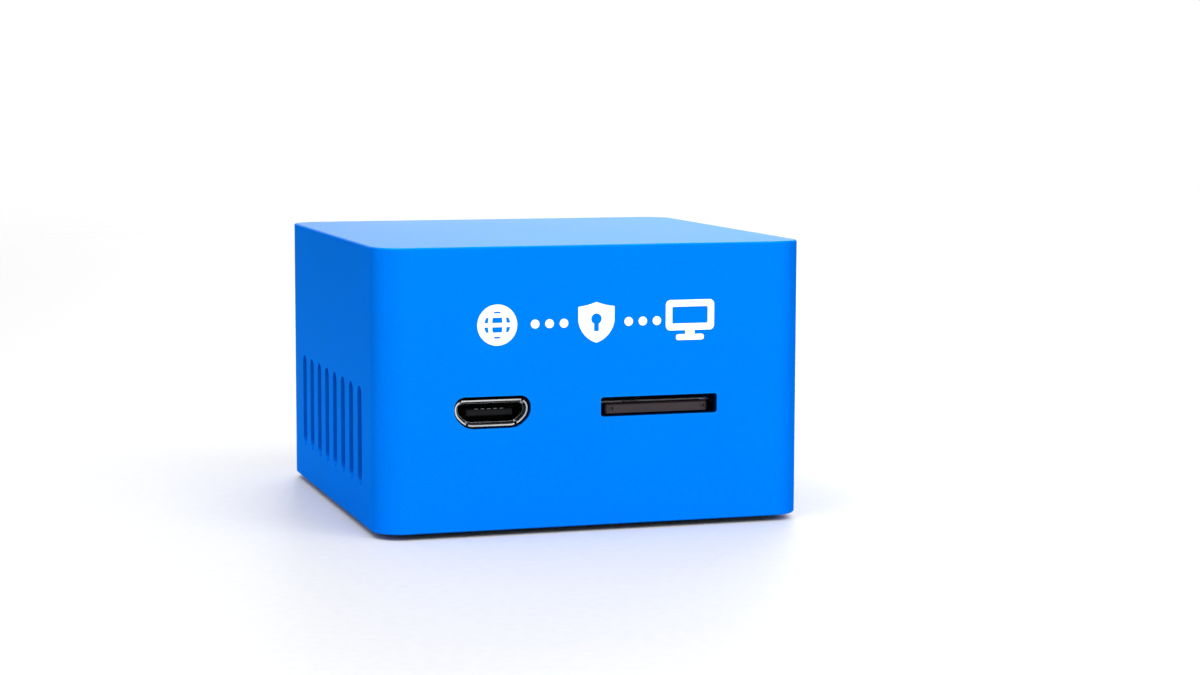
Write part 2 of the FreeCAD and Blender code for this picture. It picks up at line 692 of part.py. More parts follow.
def ethernet_jack_shield():
    """Folded tinned sheet, open underneath, with the plug's opening in its face and side springs."""
    outer = box(JACK_X - JACK_HALF, JACK_X + JACK_HALF, JACK_FRONT, REAR, BOARD_TOP, JACK_TOP)
    inner = JACK_HALF - JACK_SHEET
    hollow = box(JACK_X - inner, JACK_X + inner, JACK_FRONT + JACK_SHEET, REAR - JACK_SHEET,
                 BOARD_TOP - 1, JACK_TOP - JACK_SHEET)
    shield = cut(outer, [hollow, plug_opening(REAR - 1, REAR + 1, 0.1)] + jack_lamp_windows(0.08))
    slits = []
    for sx in (-1, 1):
        x = JACK_X + sx * JACK_HALF
        for z in (PLUG_FLOOR + 0.9, PLUG_FLOOR + 5.4):
            slits.append(box(x - 1, x + 1, REAR - 7.5, REAR - 3.0, z, z + 0.3))
            slits.append(box(x - 1, x + 1, REAR - 7.5, REAR - 3.0, z + 2.1, z + 2.4))
            slits.append(box(x - 1, x + 1, REAR - 7.8, REAR - 7.5, z, z + 2.4))
    return cut(shield, slits)


def ethernet_jack_contacts():
    """Eight gilt wires: up from the board, along the roof, and folded back down into the plug's path."""
    wires = []
    roof = PLUG_ROOF + 0.4
    for k, x in enumerate(jack_contact_places()):
        pin_y = JACK_PINS_Y + (k % 2) * 2.54
        path = [(pin_y, BOARD_BOTTOM - 1.2), (pin_y, roof), (REAR - 2.6, roof), (REAR - 3.1, roof - 0.5),
                (REAR - 9.0, roof - 2.2), (REAR - 9.8, roof - 1.9)]
        wires.append(ribbon_x(path, 0.3, x - 0.16, x + 0.16))
    return group(wires)


def ethernet_jack_lamps():
    """Two clear windows beside the latch."""
    lamps = []
    for sx in (-1, 1):
        x = JACK_X + sx * 5.6
        lamps.append(box(x - 1.28, x + 1.28, REAR - 3.9, REAR - 0.05, PLUG_FLOOR - 2.08, PLUG_FLOOR - 0.52))
    return group(lamps)


def ethernet_magnetics():
    """Isolation transformers: ferrite blocks on the chamber's back wall."""
    back = JACK_FRONT + 0.8
    return group([box(x - 1.3, x + 1.3, back, back + 1.5, PLUG_FLOOR - 1.6, PLUG_FLOOR + 5.4)
                  for x in (JACK_X + offset for offset in spread(4, 3.2))])


# ---------------------------------------------------------------- USB port

def port_contact_places():
    return [PORT_X + x for x in (-3.5, -1.0, 1.0, 3.5)]


def port_sleeve(half, low, high, radius, y0, y1):
    return prism_y(rectangle(PORT_X - half, PORT_X + half, low, high), radius, y0, y1)


def usb_port_shell():
    """Folded sheet with a flared mouth, two contact springs above and two below, and board legs."""
    outer = port_sleeve(PORT_HALF, PORT_BOTTOM, PORT_TOP, 0.6, PORT_BACK, PORT_MOUTH)
    lip, start = 0.2, PORT_MOUTH - 0.3
    flare = port_sleeve(PORT_HALF + lip, PORT_BOTTOM - lip, PORT_TOP + lip, 0.7, start, PORT_MOUTH)
    inner = PORT_HALF - PORT_SHEET
    low, high = PORT_BOTTOM + PORT_SHEET, PORT_TOP - PORT_SHEET
    hollow = port_sleeve(inner, low, high, 0.35, PORT_BACK - 1, PORT_MOUTH + 1)
    legs = [box(PORT_X + sx * (PORT_HALF - 0.15) - 0.15, PORT_X + sx * (PORT_HALF - 0.15) + 0.15,
                PORT_BACK + 8.5, PORT_BACK + 10.5, BOARD_TOP, PORT_BOTTOM + 1.5) for sx in (-1, 1)]
    tail_gap = box(PORT_X - 4.2, PORT_X + 4.2, PORT_BACK - 1, PORT_PINS_Y + 0.4, PORT_BOTTOM - 1, low + 0.1)
    shell = cut(union([outer, flare] + legs), [hollow, tail_gap])
    windows = []
    for sx in (-1, 1):
        x = PORT_X + sx * 3.2
        for z in (PORT_TOP, PORT_BOTTOM):
            low, high = z - 0.8, z + 0.8
            windows += [box(x + edge, x + edge + 0.25, PORT_MOUTH - 7, PORT_MOUTH - 1.8, low, high)
                        for edge in (-1.1, 0.85)]
            windows.append(box(x - 1.1, x + 1.1, PORT_MOUTH - 7.25, PORT_MOUTH - 7, low, high))
    return cut(shell, windows)


def usb_port_tongue():
    """White insulator: the block that closes the back of the sleeve, and the tongue."""
    inner = PORT_HALF - PORT_SHEET - 0.02
    block = port_sleeve(inner, PORT_BOTTOM + PORT_SHEET + 0.02, PORT_TOP - PORT_SHEET - 0.02, 0.4,
                        PORT_BACK, PORT_BACK + 2.6)
    low, high = PORT_TONGUE
    tongue = box(PORT_X - 5.55, PORT_X + 5.55, PORT_BACK + 1, PORT_MOUTH - 1.2, low, high)
    tongue = bevel(tongue, 0.25, lambda e: e.BoundBox.YMin > PORT_MOUTH - 1.3)
    tools = []
    for x in port_contact_places():
        tools.append(box(x - 0.52, x + 0.52, PORT_BACK - 1, PORT_MOUTH - 1.9, low - 1, low + 0.3))
        tools.append(box(x - 0.52, x + 0.52, PORT_BACK - 1, PORT_PINS_Y + 0.2, PORT_BOTTOM - 1, low + 0.3))
    return cut(union([block, tongue]), tools)


def usb_port_contacts():
    """Four gilt strips under the tongue, each turned down into the board."""
    along = PORT_TONGUE[0] + 0.15
    path = [(PORT_PINS_Y, BOARD_BOTTOM - 1.0), (PORT_PINS_Y, along), (PORT_MOUTH - 2.0, along)]
    return group([ribbon_x(path, 0.25, x - 0.45, x + 0.45) for x in port_contact_places()])


# ---------------------------------------------------------------- power port

def micro_usb_shell():
    """Folded sheet whose mouth flares into four separate lips, with two springs in its top."""
    start = POWER_MOUTH + POWER_LIP
    sleeve = power_prism(0.0, start, POWER_BACK)
    hollow = power_prism(-POWER_SHEET, start - 0.1, POWER_BACK - 0.4)
    flares = [Part.makeLoft([power_wire(inside, start + 0.02), power_wire(mouth, POWER_MOUTH)], True, True)
              for inside, mouth in ((0.0, POWER_FLARE), (-POWER_SHEET, 0.0))]
    shell = union([sleeve.cut(hollow), flares[0].cut(flares[1])])
    tools = []
    for sx in (-1, 1):
        for reach, z in ((3.2, POWER_TOP), (2.5, BOARD_TOP - 0.1)):
            x = POWER_X + sx * reach
            tools.append(box(x - 0.12, x + 0.12, POWER_MOUTH - 1, start + 0.1, z - 0.45, z + 0.45))
        x = POWER_X + sx * 1.5
        low, high = POWER_TOP - 0.35, POWER_TOP + 0.25
        for edge in (-0.55, 0.4):
            tools.append(box(x + edge, x + edge + 0.15, start + 0.5, start + 3.1, low, high))
        tools.append(box(x - 0.55, x + 0.55, start + 0.35, start + 0.5, low, high))
    return cut(shell, tools)


def micro_contact_places():
    return [POWER_X + x for x in spread(5, 0.65)]


def micro_usb_tongue():
    """Black insulator: the block in the back of the shell, and the tongue."""
    back = POWER_BACK - 0.42
    block = power_prism(-POWER_SHEET - 0.02, back - 1.2, back)
    low, high = POWER_TONGUE
    tongue = box(POWER_X - 2.4, POWER_X + 2.4, POWER_MOUTH + 0.75, back - 1, low, high)
    tongue = bevel(tongue, 0.12, lambda e: e.BoundBox.YMax < POWER_MOUTH + 0.8)
    grooves = [box(x - 0.2, x + 0.2, POWER_MOUTH + 0.95, back + 1, high - 0.12, high + 0.1)
               for x in micro_contact_places()]
    return cut(union([block, tongue]), grooves)


def micro_usb_contacts():
    """Five gilt strips let into the top of the tongue."""
    high = POWER_TONGUE[1]
    return group([box(x - 0.18, x + 0.18, POWER_MOUTH + 0.97, POWER_BACK - 0.45, high - 0.11, high + 0.06)
                  for x in micro_contact_places()])


# ---------------------------------------------------------------- memory card and its socket

def card_outline():
    """Plan of the card, inner end towards +Y, with the stepped and notched right side."""
    left, right, step = CARD_LEFT, CARD_RIGHT, CARD_RIGHT - CARD_STEP
    outer, inner = CARD_OUTER, CARD_INNER
    points = [(left, outer), (right, outer), (right, inner - 9.4), (right - 0.6, inner - 9.4),
              (right - 0.6, inner - 8.2), (right, inner - 8.2), (right, inner - 7.7), (step, inner - 6.4),
              (step, inner), (left, inner)]
    radii = [0.35, 0.35, 0.1, 0.1, 0.1, 0.1, 0.3, 0.3, 0.6, 0.6]
    return points, radii


def card_plan(z0, z1):
    points, radii = card_outline()
    wire = rounded_wire([vec(x, y, z0) for x, y in points], radii)
    return Part.Face(wire).extrude(vec(0, 0, z1 - z0))


def card_pad_places():
    return [CARD_X - CARD_STEP / 2 + x for x in spread(CARD_PADS, CARD_PAD_PITCH)]


def card_pads(grow):
    return [box(x - 0.4 - grow, x + 0.4 + grow, CARD_INNER - 3.4 - grow, CARD_INNER - 0.6 + grow,
                CARD_BOTTOM - 1, CARD_BOTTOM + 0.05) for x in card_pad_places()]


def memory_card():
    body = card_plan(CARD_BOTTOM, CARD_BOTTOM + CARD_THICK)
    top = CARD_BOTTOM + CARD_LIP
    ridge = box(CARD_LEFT, CARD_RIGHT, CARD_OUTER, CARD_OUTER + CARD_RIDGE, CARD_BOTTOM, top)
    card = union([body, ridge.common(card_plan(CARD_BOTTOM, top))])
    card = bevel(card, 0.12, lambda e: e.BoundBox.YMax < CARD_OUTER + 1e-3 and e.BoundBox.ZMin > top - 1e-3)
    low, high = CARD_BOTTOM + 0.3, CARD_BOTTOM + 0.65
    dimples = [box(x - 0.28, x + 0.28, CARD_OUTER - 1, CARD_OUTER + 0.2, low, high)
               for x in (CARD_LEFT + 0.6, CARD_RIGHT - 0.6)]
    return cut(card, card_pads(0.0) + dimples)


def memory_card_contacts():
    """Eight gilt pads, flush with the underside of the card."""
    slab = box(CARD_LEFT, CARD_RIGHT, CARD_OUTER, CARD_INNER, CARD_BOTTOM, CARD_BOTTOM + 0.05)
    return group([pad.common(slab) for pad in card_pads(-0.01)])


def card_socket_base():
    """Moulded floor and rails, with a well for each contact and the slider's channel on the right."""
    left, right = SOCKET_LEFT + SOCKET_SHEET, SOCKET_RIGHT - SOCKET_SHEET
    front, rear = SOCKET_FRONT + 0.3, SOCKET_REAR - 0.05
    rail_top = SOCKET_TOP - SOCKET_SHEET
    guide_end = CARD_INNER - 7.7 - EJECT_TRAVEL - 0.5
    floor = box(left, right, front, rear, BOARD_TOP, BOARD_TOP + 0.35)
    left_rail = box(left, CARD_LEFT - 0.1, front, rear, BOARD_TOP, rail_top)
    right_rail = box(SLIDER_RIGHT + 0.1, right, front, rear, BOARD_TOP, rail_top)
    guide = box(CARD_RIGHT + 0.1, right, front, guide_end, BOARD_TOP, rail_top)
    rear_wall = box(left, right, rear - 0.3, rear, BOARD_TOP, rail_top)
    tools = [box(x - 0.36, x + 0.36, -17.2, SOCKET_REAR - 1.6, BOARD_TOP + 0.2, BOARD_TOP + 1)
             for x in card_pad_places()]
    tools.append(rod_y(CAM_X, CAM_Z, rear - 0.4, rear + 0.1, 0.12))
    return cut(union([floor, left_rail, right_rail, guide, rear_wall]), tools)


def card_socket_cover():
    """Folded steel lid with side skirts, two hold-down springs and windows for the base's clips."""
    outer = box(SOCKET_LEFT, SOCKET_RIGHT, SOCKET_FRONT, SOCKET_REAR, BOARD_TOP, SOCKET_TOP)
    hollow = box(SOCKET_LEFT + SOCKET_SHEET, SOCKET_RIGHT - SOCKET_SHEET, SOCKET_FRONT - 1, SOCKET_REAR + 1,
                 BOARD_TOP - 1, SOCKET_TOP - SOCKET_SHEET)
    low, high = SOCKET_TOP - 1, SOCKET_TOP + 1
    tools = []
    for x in (CARD_X - 2.8, CARD_X + 2.2):
        tools += [box(x + edge, x + edge + 0.2, -14.5, -9.0, low, high) for edge in (-0.9, 0.7)]
        tools.append(box(x - 0.9, x + 0.9, -9.2, -9.0, low, high))
    for side in (SOCKET_LEFT, SOCKET_RIGHT):
        tools += [box(side - 0.5, side + 0.5, y - 0.8, y + 0.8, BOARD_TOP + 0.5, BOARD_TOP + 1.0)
                  for y in (-17.5, -8.5)]
    return cut(outer, [hollow] + tools)


def card_socket_contacts():
    """Eight sprung strips in the floor's wells, rising to just under the card."""
    thick = 0.1
    low = BOARD_TOP + 0.2 + thick / 2
    high = CARD_BOTTOM - 0.02 - thick / 2
    path = [(-17.0, low), (-12.5, low), (-9.2, high), (-8.3, high - 0.2)]
    return group([ribbon_x(path, thick, x - 0.25, x + 0.25) for x in card_pad_places()])


def card_slider():
    """The ejector: its slanting front pushes the card's shoulder, and a rod behind carries the spring."""
    low = BOARD_TOP + 0.45
    step, shoulder = CARD_RIGHT - CARD_STEP, CARD_INNER - 6.4 + 0.08
    plan = [(SLIDER_LEFT, shoulder - (SLIDER_LEFT - step)), (SLIDER_RIGHT, shoulder - (SLIDER_RIGHT - step)),
            (SLIDER_RIGHT, SLIDER_REAR), (SLIDER_LEFT, SLIDER_REAR)]
    points = [vec(x, y, low) for x, y in plan]
    body = Part.Face(Part.makePolygon(points + points[:1])).extrude(vec(0, 0, SLIDER_TOP - low))
    spring_rod = rod_y(SPRING_X, SPRING_Z, SLIDER_REAR - 0.2, SLIDER_REAR + 2.0, 0.15)
    track_start = CAM_TIP - OVERTRAVEL - 0.2
    track_end = CAM_TIP + EJECT_TRAVEL + 0.2
    groove = box(CAM_X - 0.18, CAM_X + 0.18, track_start, SLIDER_REAR + 1, CAM_Z - 0.15, SLIDER_TOP + 1)
    track = box(CAM_X - 0.18, CAM_X + 0.18, track_start, track_end, CAM_Z - 0.4, SLIDER_TOP + 1)
    return cut(union([body, spring_rod]), [groove, track])


def cam_wire():
    """A steel wire held in the base's rear wall, whose bent tip rides in the slider's track."""
    along = rod_y(CAM_X, CAM_Z, CAM_TIP - 0.1, SOCKET_REAR - 0.06, 0.1)
    tip = rod(CAM_X, CAM_TIP, CAM_Z - 0.35, CAM_Z, 0.1)
    return union([along, tip])


def eject_spring():
    start = SLIDER_REAR + 0.06
    end = SOCKET_REAR - 0.41
    return coil(SPRING_X, start, SPRING_Z, end - start, 0.27, 0.1, 8, lying=True)


# ---------------------------------------------------------------- cooling

def fin_places():
    pitch = (2 * SINK_HALF_Y - FIN_THICK) / (FINS - 1)
    return spread(FINS, pitch)


def heatsink():
    """Extruded block with fins across the box, from one row of vent slots to the other."""
    base = box(-SINK_HALF_X, SINK_HALF_X, -SINK_HALF_Y, SINK_HALF_Y, SINK_TOP - SINK_BASE, SINK_TOP)
    fins = [box(-SINK_HALF_X, SINK_HALF_X, y - FIN_THICK / 2, y + FIN_THICK / 2, SINK_BOTTOM,
                SINK_TOP - SINK_BASE) for y in fin_places()]
    tools = []
    for x, y in SINK_SCREWS:
        tools.append(rod(x, y, SINK_BOTTOM - 1, SINK_TOP - SINK_BASE, 2.5))
        tools.append(rod(x, y, SINK_BOTTOM, SINK_TOP + 1, CLEAR_RADIUS))
    return cut(union([base] + fins), tools)


def thermal_pads():
    """Soft pads that fill the gaps between the chips and the heatsink."""
    pads = []
    for x, y, half_x, half_y, thick in (PROCESSOR,) + MEMORY:
        edge = min(y + half_y, SINK_HALF_Y) - 0.4
        pads.append(box(x - half_x + 0.4, x + half_x - 0.4, y - half_y + 0.4, edge, SINK_TOP,
                        BOARD_BOTTOM - thick))
    return group(pads)


def heatsink_screws():
    screws = []
    for x, y in SINK_SCREWS:
        low, high = SINK_HEAD
        head = soften(rod(x, y, low, high, 1.75), 0.4, at_height(low))
        shank = rod(x, y, high - 0.2, BOARD_TOP + 1.7, STUD_RADIUS)
        screws.append(union([head, shank]).cut(cross_recess(x, y, low, 0.9, 0.6)))
    return group(screws)


def heatsink_springs():
    wire = 0.3
    start = SINK_HEAD[1] + wire / 2 + 0.02
    end = SINK_TOP - SINK_BASE - wire / 2 - 0.02
    return group([coil(x, y, start, end - start, 1.45, wire, 3) for x, y in SINK_SCREWS])


def heatsink_nuts():
    nuts = []
    for x, y in SINK_SCREWS:
        nut = hexagon(x, y, BOARD_TOP, BOARD_TOP + 1.5, 3.4)
        nuts.append(nut.cut(rod(x, y, BOARD_TOP - 1, BOARD_TOP + 2, THREAD_RADIUS)))
    return group(nuts)


# ---------------------------------------------------------------- output

PIECES = [
    housing_shell, base_plate, base_screws, rubber_feet, base_label, board_standoffs, front_mark,
    circuit_board, processor_chip, memory_chips, network_chip, power_chips, power_inductors, crystals,
    bulk_capacitor, ceramic_capacitors, chip_resistors, status_leds, debug_header_block, debug_header_pins,
    ethernet_jack_insert, ethernet_jack_shield, ethernet_jack_contacts, ethernet_jack_lamps,
    ethernet_magnetics, usb_port_shell, usb_port_tongue, usb_port_contacts, micro_usb_shell,
    micro_usb_tongue, micro_usb_contacts, memory_card, memory_card_contacts, card_socket_base,
    card_socket_cover, card_socket_contacts, card_slider, cam_wire, eject_spring, heatsink, thermal_pads,
    heatsink_screws, heatsink_springs, heatsink_nuts,
]


def main():
    os.makedirs("parts", exist_ok=True)
    for make in PIECES:
        shape = make()
        solids = shape.Solids
        healthy = shape.isValid() and all(s.isClosed() and s.Volume > 0 for s in solids)
        print(f"{make.__name__:24s} solids {len(solids):3d}  volume {shape.Volume:9.2f}  valid {healthy}")
        shape.exportStep(f"parts/{make.__name__}.step")


main()
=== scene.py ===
import json
import math
from functools import partial

import bpy
from mathutils import Matrix, Vector


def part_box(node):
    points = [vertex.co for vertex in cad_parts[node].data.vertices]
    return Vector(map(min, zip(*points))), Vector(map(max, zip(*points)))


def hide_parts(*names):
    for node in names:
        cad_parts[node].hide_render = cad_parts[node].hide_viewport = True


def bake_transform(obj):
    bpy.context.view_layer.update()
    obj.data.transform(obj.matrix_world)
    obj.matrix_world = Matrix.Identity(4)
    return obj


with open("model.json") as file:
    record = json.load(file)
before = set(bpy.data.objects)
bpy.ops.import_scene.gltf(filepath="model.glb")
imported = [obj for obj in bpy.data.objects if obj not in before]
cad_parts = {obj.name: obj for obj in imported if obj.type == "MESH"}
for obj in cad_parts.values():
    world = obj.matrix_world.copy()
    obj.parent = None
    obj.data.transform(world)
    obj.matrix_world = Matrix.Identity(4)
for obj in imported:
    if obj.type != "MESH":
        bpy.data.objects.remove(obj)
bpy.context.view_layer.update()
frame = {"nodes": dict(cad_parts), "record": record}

MM = 0.001
MICRON = 0.000001
RECORD = frame["record"]
NODES = frame["nodes"]
CASE_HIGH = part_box("housing_shell")[1]


# ---------------------------------------------------------------- camera

# film and lens are in millimetres
FILM_WIDTH = 36.0
LENS = 75.42
CAMERA_PLACE = Vector((-75.69, -261.6, 46.13)) * MM
CAMERA_YAW = math.radians(17.649)
CAMERA_DOWN = math.radians(6.023)
CAMERA_ROLL = math.radians(0.178)


def make_camera():
    """The photograph's viewpoint: a long lens, a little above and to the left of the front."""
    data = bpy.data.cameras.new("camera")
    data.sensor_width = FILM_WIDTH
    data.lens = LENS
    data.clip_start = 5 * MM
    data.clip_end = 20.0
    camera = bpy.data.objects.new("camera", data)
    bpy.context.scene.collection.objects.link(camera)
    turn = Matrix.Rotation(-CAMERA_YAW, 4, "Z") @ Matrix.Rotation(math.pi / 2 - CAMERA_DOWN, 4, "X")
    camera.matrix_world = Matrix.Translation(CAMERA_PLACE) @ turn @ Matrix.Rotation(CAMERA_ROLL, 4, "Z")
    bpy.context.scene.camera = camera


# ---------------------------------------------------------------- node helpers

# the colour sockets of a Mix node, which share their names with its other sockets
MIX_A, MIX_B, MIX_RESULT = 6, 7, 2
# the span that noise mostly stays in
NOISE_LOW, NOISE_HIGH = 0.3, 0.7
# the cosine of a normal's turn on flat ground and at a full edge
ON_GROUND, AT_EDGE = 0.995, 0.85


class Nodes:
    """A node tree whose nodes are added by short calls."""

    def __init__(self, tree):
        self.tree = tree

    def node(self, kind, settings=None, **values):
        """Adds a node; a value may be a plain number, a tuple, or another node's output."""
        made = self.tree.nodes.new(kind)
        for key, value in (settings or {}).items():
            setattr(made, key, value)
        for key, value in values.items():
            self.feed(made.inputs[key.replace("_", " ")], value)
        return made

    def feed(self, socket, value):
        """Links another node's output to a socket, or sets the socket's own value."""
        if isinstance(value, bpy.types.NodeSocket):
            self.tree.links.new(value, socket)
        else:
            socket.default_value = value

    def remap(self, value, low, high, to_low, to_high, kind="LINEAR"):
        """Turns a value between `low` and `high` into one between `to_low` and `to_high`."""
        made = self.node("ShaderNodeMapRange", {"clamp": True, "interpolation_type": kind}, Value=value)
        for name, number in (("From Min", low), ("From Max", high), ("To Min", to_low), ("To Max", to_high)):
            made.inputs[name].default_value = number
        return made.outputs["Result"]

    def spread(self, noise, low, high):
        """Noise spread out between two values."""
        return self.remap(noise, NOISE_LOW, NOISE_HIGH, low, high)

    def spots(self, noise, start, full, most):
        """0 where noise is under `start`, rising to `most` where it passes `full`."""
        return self.remap(noise, start, full, 0.0, most)

    def math(self, operation, a, b):
        """Arithmetic on one or two numbers."""
        made = self.node("ShaderNodeMath", {"operation": operation})
        self.feed(made.inputs[0], a)
        self.feed(made.inputs[1], b)
        return made.outputs["Value"]

    def vector(self, operation, a, b=(0.0, 0.0, 0.0)):
        """Vector arithmetic: gives the vector, or for a dot product or a length the number."""
        made = self.node("ShaderNodeVectorMath", {"operation": operation})
        self.feed(made.inputs[0], a)
        self.feed(made.inputs[1], b)
        return made.outputs["Value" if operation in ("DOT_PRODUCT", "LENGTH") else "Vector"]


class Material(Nodes):
    """A material around the Principled shader."""

    def __init__(self, name):
        self.material = bpy.data.materials.new(name)
        self.material.use_nodes = True
        super().__init__(self.material.node_tree)
        self.shader = self.tree.nodes["Principled BSDF"]
        self.place = self.node("ShaderNodeTexCoord").outputs["Object"]

    def set(self, **values):
        """Sets the shader's sockets by name."""
        for key, value in values.items():
            self.feed(self.shader.inputs[key.replace("_", " ")], value)

    def noise(self, scale, detail=3.0, rough=0.5, stretch=None):
        """Noise with this many cells per metre, between 0 and 1."""
        place = self.place
        if stretch:
            mapping = self.node("ShaderNodeMapping", Vector=place, Scale=stretch)
            place = mapping.outputs["Vector"]
        made = self.node("ShaderNodeTexNoise", Vector=place, Scale=scale, Detail=detail, Roughness=rough)
        return made.outputs["Fac"]

    def mix(self, factor, a, b):
        """A colour between a and b."""
        made = self.node("ShaderNodeMix", {"data_type": "RGBA"})
        self.feed(made.inputs["Factor"], factor)
        self.feed(made.inputs[MIX_A], a)
        self.feed(made.inputs[MIX_B], b)
        return made.outputs[MIX_RESULT]

    def tint(self, factor, share, a, b):
        """A colour that goes this share of the way from a to b where the factor is 1."""
        return self.mix(self.math("MULTIPLY", factor, share), a, b)

    def roughness(self, broad, fine, low, high, grain):
        """A roughness that follows broad noise from `low` to `high`, with fine noise of +-`grain` on it."""
        return self.math("ADD", self.spread(broad, low, high), self.spread(fine, -grain, grain))

    def bump(self, height, depth):
        """Turns a height between 0 and 1 into a normal, for relief this deep in metres."""
        made = self.node("ShaderNodeBump", Height=height, Distance=depth, Strength=1.0)
        self.set(Normal=made.outputs["Normal"])

    def away(self, axis, shallow, deep):
        """0 within `shallow` metres behind the case's faces across an axis, and 1 from `deep` on."""
        parts = self.node("ShaderNodeSeparateXYZ", Vector=self.place)
        reach = self.math("ABSOLUTE", parts.outputs[axis], 0.0)
        half = CASE_HIGH["XYZ".index(axis)]
        return self.remap(reach, half - deep, half - shallow, 1.0, 0.0)

    def edges(self, radius):
        """1 at convex edges and 0 on flat ground, from how the normal turns over this radius."""
        bevel = self.node("ShaderNodeBevel", {"samples": 4}, Radius=radius)
        ground = self.node("ShaderNodeNewGeometry")
        turn = self.vector("DOT_PRODUCT", bevel.outputs["Normal"], ground.outputs["Normal"])
        return self.remap(turn, ON_GROUND, AT_EDGE, 0.0, 1.0)


def colour(r, g, b):
    """A linear colour from display values between 0 and 255."""
    def linear(v):
        v /= 255
        return v / 12.92 if v <= 0.04045 else ((v + 0.055) / 1.055) ** 2.4
    return linear(r), linear(g), linear(b), 1.0


def shade(base, factor, lift=0.0):
    """A linear colour made darker or lighter."""
    return tuple(min(1.0, c * factor + lift) for c in base[:3]) + (1.0,)


# ---------------------------------------------------------------- materials

BLUE = (0.0, 0.22, 0.9, 1)
BLUE_WORN = (0.01, 0.36, 1.0, 1)
BLUE_GRAZING = (0.3, 0.66, 1.0, 1)
HOLE_SHADE = (0.001, 0.004, 0.02, 1)
BLACK = (0.012, 0.012, 0.013, 1)
BLACK_WORN = (0.12, 0.12, 0.12, 1)
WHITE = (1, 1, 1, 1)
DUST = (0.07, 0.068, 0.065, 1)
# painted shade for plated metal deep inside the ports
PAINTED_INNER_SHADE = (0.01, 0.009, 0.011, 1)
INK = colour(250, 251, 253)
INK_THIN = colour(196, 214, 240)
LABEL = colour(206, 209, 213)
LABEL_LINE = colour(176, 180, 186)
MASK = (0.004, 0.012, 0.009, 1)
TRACK = (0.01, 0.035, 0.026, 1)
LAMP = (0.55, 0.62, 0.5, 1)
LAMP_HAZE = (0.75, 0.8, 0.7, 1)
# how noise is squeezed to make lines along an axis
ALONG_X = (0.05, 1.0, 1.0)
ALONG_Z = (1.0, 1.0, 0.05)


def anodised(name, base, worn, roughness, grazing):
    """Bead-blasted, dyed aluminium: fine pits, a faint mottle in the dye, thinner dye on the edges, and
    painted shade deep in the cut-outs and the hollow inside.
    """
    m = Material(name)
    mottle = m.spread(m.noise(120.0, 4.0, 0.6), 0.0, 1.0)
    pits = m.noise(9000.0, 2.0, 0.6)
    specks = m.spots(m.noise(3150.0, 3.0, 0.7), 0.62, 0.8, 0.1)
    dye = m.mix(mottle, shade(base, 0.96), base)
    dye = m.mix(specks, dye, worn)
    dye = m.tint(m.edges(0.25 * MM), 0.35, dye, worn)
    # painted shade: the dye darkens towards HOLE_SHADE deep in the port cut-outs and the case's hollow,
    # where shade falls
    painted_hole_shade = m.math("MULTIPLY", m.away("Y", 0.05 * MM, 0.5 * MM), m.away("X", 2.5 * MM, 3.0 * MM))
    painted_hole_shade = m.math("MULTIPLY", painted_hole_shade, m.away("Z", 1.0 * MM, 2.0 * MM))
    dye = m.tint(painted_hole_shade, 0.85, dye, HOLE_SHADE)
    rough = m.math("ADD", m.remap(mottle, 0.0, 1.0, roughness - 0.01, roughness + 0.01),
                   m.spread(pits, -0.03, 0.03))
    m.set(Base_Color=dye, Metallic=1.0, Roughness=rough, Specular_Tint=grazing)
    m.bump(pits, 12 * MICRON)
    return m.material


def plated(name, base, roughness, grain=2500.0, stretch=None, inner_shade=0.0):
    """Plated or drawn metal: fine directional lines, uneven polish, darker spots, and painted shade deep
    behind the case's front and rear faces.
    """
    m = Material(name)
    lines = m.noise(grain, 3.0, 0.6, stretch)
    cloud = m.noise(260.0, 3.0, 0.6)
    tint = m.mix(m.spots(cloud, 0.35, 0.75, 0.5), base, shade(base, 0.62))
    # painted shade: the colour darkens towards near-black from 0.8 to 1.8 mm behind the case's front and
    # rear faces, deep in the ports
    tint = m.tint(m.away("Y", 0.8 * MM, 1.8 * MM), inner_shade, tint, PAINTED_INNER_SHADE)
    m.set(Base_Color=tint, Metallic=1.0,
          Roughness=m.roughness(cloud, lines, roughness * 0.7, roughness * 1.4, 0.05))
    m.bump(lines, 6 * MICRON)
    return m.material


def moulded(name, base, roughness, grain=5000.0, depth=10 * MICRON, vary=0.25, shine=0.5):
    """Moulded plastic or epoxy: a fine spark-eroded grain, and slight blotches."""
    m = Material(name)
    fine = m.noise(grain, 3.0, 0.6)
    cloud = m.noise(180.0, 3.0, 0.5)
    light = shade(base, 1 + vary, 0.004)
    tint = m.mix(m.spread(cloud, 0.0, 1.0), base, light)
    tint = m.tint(m.edges(0.12 * MM), 0.3, tint, light)
    m.set(Base_Color=tint, Specular_IOR_Level=shine,
          Roughness=m.roughness(cloud, fine, roughness - 0.05, roughness + 0.06, 0.05))
    m.bump(fine, depth)
    return m.material


def rubber(name):
    """Matte rubber with dust in its pores."""
    m = Material(name)
    fine = m.noise(3500.0, 4.0, 0.7)
    dust = m.spots(m.noise(700.0, 4.0, 0.7), 0.55, 0.75, 0.35)
    m.set(Base_Color=m.mix(dust, BLACK, DUST), Roughness=m.spread(fine, 0.72, 0.92))
    m.bump(fine, 20 * MICRON)
    return m.material


def printed_ink(name):
    """White screen-printing ink: a slight orange-peel and thin spots."""
    m = Material(name)
    fine = m.noise(6000.0, 3.0, 0.6)
    thin = m.spots(m.noise(2600.0, 4.0, 0.65), 0.64, 0.8, 0.35)
    m.set(Base_Color=m.mix(thin, INK, INK_THIN), Roughness=m.spread(fine, 0.42, 0.6))
    m.bump(fine, 5 * MICRON)
    return m.material


def label_film(name):
    """A blank silver-grey label with a fine brushed print."""
    m = Material(name)
    lines = m.noise(1500.0, 2.0, 0.5, (0.04, 1.0, 1.0))
    m.set(Base_Color=m.mix(lines, LABEL_LINE, LABEL), Metallic=0.35, Roughness=m.spread(lines, 0.38, 0.5))
    m.bump(lines, 4 * MICRON)
    return m.material


